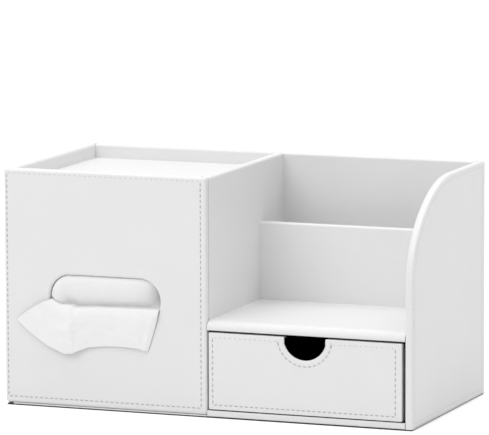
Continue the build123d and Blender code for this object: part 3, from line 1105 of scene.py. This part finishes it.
class TISSUE_BOX_OT_tissue_pack(bpy.types.Operator):
    """Stack of folded tissues that stands behind the slot"""

    bl_idname = "tissue_box.tissue_pack"
    bl_label = "Tissue pack"

    def execute(self, context):
        sizes = context.scene.tissue_box_sizes
        low, high = (corner.copy() for corner in TISSUE_PACK)
        low.y += sizes.bulge_built
        pack = board_between("tissue_stack", low, high)
        bpy.ops.object.mode_set(mode="EDIT")
        round_edges(pack, anywhere, sizes.pack_round, PACK_SEGMENTS)
        bpy.ops.object.mode_set(mode="OBJECT")
        apply_modifier(pack, "REMESH", mode="VOXEL", voxel_size=PACK_VOXEL)
        apply_modifier(pack, "SMOOTH", factor=0.5, iterations=PACK_SMOOTHING)
        swell(pack, *PACK_DENTS)
        swell(pack, *PACK_CREASES)
        bpy.ops.object.shade_smooth()
        dress(pack, "pack", "carcass", "tissue_pack")
        return {"FINISHED"}


# Folds of the hanging tissue, from its left edge to its right edge, in mm: place across the slot
# from its middle, height over the line where the tissue comes out, hem across from the slot's
# middle, hem below that line, how far the fold is pulled out of the flap on its way down, and how
# far its hem stands out.
TISSUE_FOLDS = [
    (-41.2, 3.6, -67.9, 12.3, 1.6, 0.6),
    (-38.5, 1.6, -58.2, 20.6, 2.2, 1.2),
    (-34.8, -0.4, -44.0, 29.9, 3.2, 1.8),
    (-30.0, -0.5, -30.0, 35.2, 4.6, 2.6),
    (-25.8, -0.6, -23.4, 34.4, 5.6, 3.2),
    (-23.0, -2.1, -19.5, 32.6, 3.4, 2.0),
    (-14.0, -1.4, -12.0, 29.6, 1.6, 1.1),
    (-1.0, -0.9, 1.0, 28.2, 0.9, 0.6),
    (14.0, -0.6, 13.0, 27.8, 1.5, 0.8),
    (26.0, -0.3, 24.0, 28.2, 2.2, 1.2),
    (34.0, -0.1, 28.4, 29.0, 1.2, 0.7),
    (38.5, 0.0, 31.0, 29.9, 1.9, 1.1),
    (42.3, 0.1, 33.4, 30.3, -0.9, 0.2),
]


def line_of_tissue(x, sizes):
    """Height at which the hanging tissue comes out of the pack, at one place across."""
    across = (x - FLAP[0].x - sizes.slot_across) / MM
    rise = TISSUE_FOLDS[0][1] if across < 0 else TISSUE_FOLDS[-1][1]
    for first, second in zip(TISSUE_FOLDS, TISSUE_FOLDS[1:]):
        if first[0] <= across <= second[0]:
            share = (across - first[0]) / (second[0] - first[0])
            rise = first[1] + (second[1] - first[1]) * share
    return sizes.slot_above - sizes.out_under + rise * MM


# Steps of the next tissue's crown from its outline to its middle, in mm: inwards, outwards.
CROWN_STEPS = [(0.5, 1.4), (1.0, 1.0), (1.8, 0.6), (2.6, 0.2)]
CROWN_ROOT = 2 * MM          # how far the crown starts in front of the pack
FOLD_IN_PACK = 2 * MM        # how far the fold starts inside the pack
FOLD_VOXEL = 0.8 * MM
FOLD_SMOOTHING = 3
FOLD_DENTS = (9 * MM, 0.35 * MM)

# The crease over the hanging tissue, into which the crown is drawn back. Draws are shares of the
# crown, and places to the left and right are shares of half the slot's width.
CREASE_UP = 0.6 * MM         # from the tissue's line up to the crease
CREASE_SPAN = 0.85           # share of the way from the crease to the rim that it takes up
WIDE_DRAW = 0.58
TIGHT_DRAW = 0.34
UNDER_DRAW = 0.15            # all over, under the crease
LEFT_END = (0.7, 1.0)        # where the crease grows weaker
LEFT_EASE = 0.7              # and how much weaker it is in the end
RIGHT_END = (0.5, 0.95)      # where the crown falls back
RIGHT_DRAW = 0.6
RIGHT_CREASE_DRAW = 0.9      # more of that draw, in the crease


class TISSUE_BOX_OT_next_tissue(bpy.types.Operator):
    """Fold of the next tissue, which swells out of the pack and fills the slot"""

    bl_idname = "tissue_box.next_tissue"
    bl_label = "Next tissue"

    def execute(self, context):
        sizes = context.scene.tissue_box_sizes
        seat = FLAP[0].y + sizes.bulge_seat
        packed = TISSUE_PACK[0].y + sizes.bulge_built
        fold = slot_bar("next_tissue", sizes, sizes.bulge_in, seat, packed + FOLD_IN_PACK)
        bpy.ops.object.mode_set(mode="EDIT")
        bpy.ops.mesh.select_all(action="SELECT")
        bpy.ops.transform.translate(value=UP * sizes.bulge_up)
        pick_widest_face(fold, FRONT)
        for inwards, outwards in CROWN_STEPS:
            bpy.ops.mesh.inset(thickness=inwards * MM, depth=outwards * MM)
        bpy.ops.object.mode_set(mode="OBJECT")
        apply_modifier(fold, "REMESH", mode="VOXEL", voxel_size=FOLD_VOXEL)
        apply_modifier(fold, "SMOOTH", factor=0.5, iterations=FOLD_SMOOTHING)
        self.droop(fold, packed - CROWN_ROOT, sizes)
        swell(fold, *FOLD_DENTS)
        bpy.ops.object.shade_smooth()
        dress(fold, "tissue", "carcass")
        return {"FINISHED"}

    @staticmethod
    def droop(fold, root, sizes):
        """Draws the crown back into the crease where the hanging tissue comes out, and lets it
        fall back towards the slot's right end."""
        middle_x = FLAP[0].x + sizes.slot_across
        half = sizes.slot_height / 2
        for point in fold.data.vertices:
            crown = root - point.co.y
            if crown <= 0:
                continue
            crease = line_of_tissue(point.co.x, sizes) + CREASE_UP
            over = point.co.z - crease
            to_rim = sizes.slot_above - crease + (half if over > 0 else -half)
            right = (point.co.x - middle_x) / (sizes.slot_width / 2)
            creased = 1 - ramp(over / to_rim, 0, CREASE_SPAN)
            creased *= 1 - LEFT_EASE * ramp(-right, *LEFT_END)
            keep = 1 - WIDE_DRAW * creased ** 2 - TIGHT_DRAW * creased ** 4
            if over > 0:
                draw = RIGHT_DRAW + RIGHT_CREASE_DRAW * creased
                keep *= 1 - ramp(right, *RIGHT_END) ** 2 * draw
            else:
                keep *= 1 - UNDER_DRAW
            point.co.y = root - crown * keep


OFF_FLAP = 0.6 * MM          # between the flap's face and the tissue
OVER_LIP = 1.5 * MM          # more of that, where the tissue turns over the slot's lower lip
LIP_SHARE = 1 / 6            # share of the way down in which it gets there

# The tissue's way from the pack to the flap's face, in mm: behind the face, under its line.
WAY_OUT = ((9.0, 2.2), (6.5, 0.6), (4.0, 0.0), (1.5, -0.1))

# How the columns of the tissue spread on their way down, as powers of the share of that way: a
# higher one keeps them longer at the slot.
FALL_POWER = 1.05
FAN_POWER, FAN_REACH = 0.3, 25 * MM          # added where the hem lies that far to the left
SWEEP_POWER, SWEEP_REACH = 0.4, 40 * MM      # added across, that far right of the slot's middle

# Ripples in the loose tissue: about how many to the metre, and their height in mm.
RIPPLES = ((130, 0.7), (320, 0.25))
LOOSE = 4 * MM               # a tissue that stands out so far ripples fully


class TISSUE_BOX_OT_tissue_sheet(bpy.types.Operator):
    """Tissue pulled through the slot, which hangs over its lower half in soft folds"""

    bl_idname = "tissue_box.tissue_sheet"
    bl_label = "Hanging tissue"

    across: IntProperty(name="Steps across", description="Columns between folds", default=5, min=1)
    down: IntProperty(name="Steps down", description="Rows from slot to hem", default=16, min=4)

    def execute(self, context):
        sizes = context.scene.tissue_box_sizes
        folds = self.columns()
        points = [self.fall(fold, sizes) for fold in folds]
        rows = len(points[0])
        faces = [
            (c * rows + r, c * rows + r + 1, (c + 1) * rows + r + 1, (c + 1) * rows + r)
            for c in range(len(points) - 1)
            for r in range(rows - 1)
        ]
        mesh = bpy.data.meshes.new("hanging_tissue")
        mesh.from_pydata([point for column in points for point in column], [], faces)
        sheet = bpy.data.objects.new("hanging_tissue", mesh)
        context.scene.collection.objects.link(sheet)
        apply_modifier(sheet, "SUBSURF", levels=2, render_levels=2)
        for point in sheet.data.vertices:
            ripple = sum(noise.noise(point.co * count) * height for count, height in RIPPLES)
            point.co.y += ripple * ramp(FLAP[0].y - point.co.y, 0, LOOSE) * MM
        apply_modifier(sheet, "SOLIDIFY", thickness=sizes.tissue_ply, offset=0)
        bpy.ops.object.shade_smooth()
        dress(sheet, "tissue", "flap", "tissue_sheet")
        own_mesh(sheet)
        return {"FINISHED"}

    def columns(self):
        """The folds with soft steps between them."""
        made = []
        for first, second in zip(TISSUE_FOLDS, TISSUE_FOLDS[1:]):
            for step in range(self.across):
                share = step / self.across
                soft = share * share * (3 - 2 * share)
                made.append(tuple(a + (b - a) * soft for a, b in zip(first, second)))
        return [*made, TISSUE_FOLDS[-1]]

    def fall(self, fold, sizes):
        """Points of one column, from inside the pack down to the hem."""
        at_line, _, at_hem, drop, pulled_out, out_hem = (value * MM for value in fold)
        middle_x = FLAP[0].x + sizes.slot_across
        x_line, x_hem = middle_x + at_line, middle_x + at_hem
        z_line = line_of_tissue(x_line, sizes)
        z_hem = sizes.slot_above - sizes.out_under - drop
        fan = FALL_POWER + FAN_POWER * ramp(x_line - x_hem, 0, FAN_REACH)
        sweep = 1 + SWEEP_POWER * ramp(at_line, 0, SWEEP_REACH)
        points = [(x_line, FLAP[0].y + back * MM, z_line - dip * MM) for back, dip in WAY_OUT]
        for row in range(self.down + 1):
            share = row / self.down
            out = 2 * share * (1 - share) * pulled_out + share ** 2 * out_hem
            out += OVER_LIP * ramp(share, 0, LIP_SHARE) * (1 - share)
            x = x_line + (x_hem - x_line) * share ** sweep
            z = z_line + (z_hem - z_line) * share ** fan
            points.append((x, FLAP[0].y - OFF_FLAP - out, z))
        return points


# ---- nodes that stay as built ----
NODE_FINISHES = {
    "leathercloth": ["front_frame_leather", "tray_leather", "flap_hinge", "flap_lining"],
    # The bottom's face in the drawer's bay gets painted shade.
    "bay shaded leathercloth": ["bottom_leather"],
    "felt": ["base_felt"],
    "velvet": ["drawer_lining"],
    "steel": ["flap_magnets", "frame_magnets"],
    "fibreboard": [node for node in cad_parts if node.endswith("_board")],
}


class TISSUE_BOX_OT_built_nodes(bpy.types.Operator):
    """Finishes of the boards, linings and magnets that keep their built shape"""

    bl_idname = "tissue_box.built_nodes"
    bl_label = "Built parts"

    def execute(self, context):
        for kind, nodes in NODE_FINISHES.items():
            for node in nodes:
                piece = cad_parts[node]
                piece.data.materials.clear()
                piece.data.materials.append(finish_of(kind))
        return {"FINISHED"}


# ---- stage ----
# Lamps: where each stands, what it shines on and the side of its square, in metres.
TOP_LAMP = ((0.1, 0.2, 2.4), (0, 0, 0), 2.4)
FRONT_LAMP = ((-0.9, -1.85, 2.2), (0, 0, 0.08), 1.6)

FLOOR_SIDE = 60
FLOOR_GREY = (0.85, 0.85, 0.85, 1)
FLOOR_GLOW = {"From Min": 0.3, "From Max": 2.5, "To Min": 0.3, "To Max": 0.7}


class TISSUE_BOX_OT_stage(bpy.types.Operator):
    """White floor, soft light and the camera"""

    bl_idname = "tissue_box.stage"
    bl_label = "Stage"

    def execute(self, context):
        stage = context.scene.tissue_box_stage
        self.floor()
        self.sky(stage)
        self.lamp("top_lamp", *TOP_LAMP, stage.top_light)
        self.lamp("front_lamp", *FRONT_LAMP, stage.front_light)
        self.camera(stage)
        context.scene.view_settings.view_transform = "Standard"
        return {"FINISHED"}

    @staticmethod
    def seen_directly(tree):
        """1 for rays that see a thing straight, in a mirror or through glass, otherwise 0."""
        path = tree.nodes.new("ShaderNodeLightPath")
        total = path.outputs["Is Camera Ray"]
        for name in ("Is Glossy Ray", "Is Transmission Ray"):
            either = tree.nodes.new("ShaderNodeMath")
            either.operation = "MAXIMUM"
            tree.links.new(total, either.inputs[0])
            tree.links.new(path.outputs[name], either.inputs[1])
            total = either.outputs[0]
        return total

    def floor(self):
        """Wide white floor that takes the box's shadow. Seen straight, it glows a little more
        the further it lies from the box."""
        clear_selection()
        bpy.ops.mesh.primitive_plane_add(size=FLOOR_SIDE)
        floor = settle("floor")
        bpy.ops.object.mode_set(mode="EDIT")
        bpy.ops.mesh.select_all(action="SELECT")
        bpy.ops.mesh.subdivide(number_cuts=3)
        bpy.ops.object.mode_set(mode="OBJECT")
        finish = Finish(
            "white_floor", Base_Color=FLOOR_GREY, Roughness=0.9, Emission_Color=(1, 1, 1, 1)
        )
        inputs = {0: finish.coordinates.outputs["Object"]}
        distance = finish.node("ShaderNodeVectorMath", inputs, operation="LENGTH")
        inputs = {"Value": distance.outputs["Value"], **FLOOR_GLOW}
        glow = finish.node("ShaderNodeMapRange", inputs).outputs["Result"]
        seen = finish.reckon("MULTIPLY", self.seen_directly(finish.tree), glow)
        finish.link(seen, "Emission Strength")
        floor.data.materials.append(finish.material)

    def sky(self, stage):
        """Even light from all round, white behind the box."""
        world = bpy.data.worlds.new("white_room")
        bpy.context.scene.world = world
        world.use_nodes = True
        tree = world.node_tree
        light = tree.nodes["Background"]
        light.inputs["Color"].default_value = (1, 1, 1, 1)
        strength = tree.nodes.new("ShaderNodeMapRange")
        strength.inputs["To Min"].default_value = stage.sky
        strength.inputs["To Max"].default_value = 1
        tree.links.new(self.seen_directly(tree), strength.inputs["Value"])
        tree.links.new(strength.outputs["Result"], light.inputs["Strength"])

    @staticmethod
    def lamp(name, place, target, size, watts):
        """A soft square lamp that shines on its target."""
        data = bpy.data.lights.new(name, "AREA")
        data.shape = "SQUARE"
        data.size = size
        data.energy = watts
        lamp = bpy.data.objects.new(name, data)
        bpy.context.scene.collection.objects.link(lamp)
        lamp.location = place
        lamp.rotation_euler = (Vector(target) - Vector(place)).to_track_quat("-Z", "Y").to_euler()

    @staticmethod
    def camera(stage):
        """The camera, in front of the box and to its right."""
        data = bpy.data.cameras.new("camera")
        data.lens = stage.lens
        data.sensor_width = stage.sensor
        camera = bpy.data.objects.new("camera", data)
        bpy.context.scene.collection.objects.link(camera)
        pitch, roll, yaw = stage.turn
        turn = Matrix.Rotation(yaw, 4, "Z") @ Matrix.Rotation(pitch, 4, "X")
        turn @= Matrix.Rotation(roll, 4, "Z")
        camera.matrix_world = Matrix.Translation(stage.place) @ turn
        bpy.context.scene.camera = camera


STEPS = [
    TISSUE_BOX_OT_flap_cover,
    TISSUE_BOX_OT_flap_stitches,
    TISSUE_BOX_OT_drawer_front,
    TISSUE_BOX_OT_drawer_stitches,
    TISSUE_BOX_OT_drawer_boards,
    TISSUE_BOX_OT_wall_covers,
    TISSUE_BOX_OT_side_panel,
    TISSUE_BOX_OT_panel_stitches,
    TISSUE_BOX_OT_tissue_pack,
    TISSUE_BOX_OT_next_tissue,
    TISSUE_BOX_OT_tissue_sheet,
    TISSUE_BOX_OT_built_nodes,
    TISSUE_BOX_OT_stage,
]


class TISSUE_BOX_PT_steps(bpy.types.Panel):
    """Steps that dress the tissue box, in order"""

    bl_label = "Tissue box"
    bl_idname = "TISSUE_BOX_PT_steps"
    bl_space_type = "VIEW_3D"
    bl_region_type = "UI"
    bl_category = "Tissue box"

    def draw(self, context):
        for step in STEPS:
            self.layout.operator(step.bl_idname)


CLASSES = [TissueBoxSizes, TissueBoxColours, TissueBoxStage, *STEPS, TISSUE_BOX_PT_steps]


def register():
    for cls in CLASSES:
        bpy.utils.register_class(cls)
    bpy.types.Scene.tissue_box_sizes = PointerProperty(type=TissueBoxSizes)
    bpy.types.Scene.tissue_box_colours = PointerProperty(type=TissueBoxColours)
    bpy.types.Scene.tissue_box_stage = PointerProperty(type=TissueBoxStage)


def unregister():
    for name in ("tissue_box_sizes", "tissue_box_colours", "tissue_box_stage"):
        delattr(bpy.types.Scene, name)
    for cls in reversed(CLASSES):
        bpy.utils.unregister_class(cls)


def main():
    register()
    for step in STEPS:
        group, name = step.bl_idname.split(".")
        getattr(getattr(bpy.ops, group), name)()


if __name__ == "__main__":
    main()
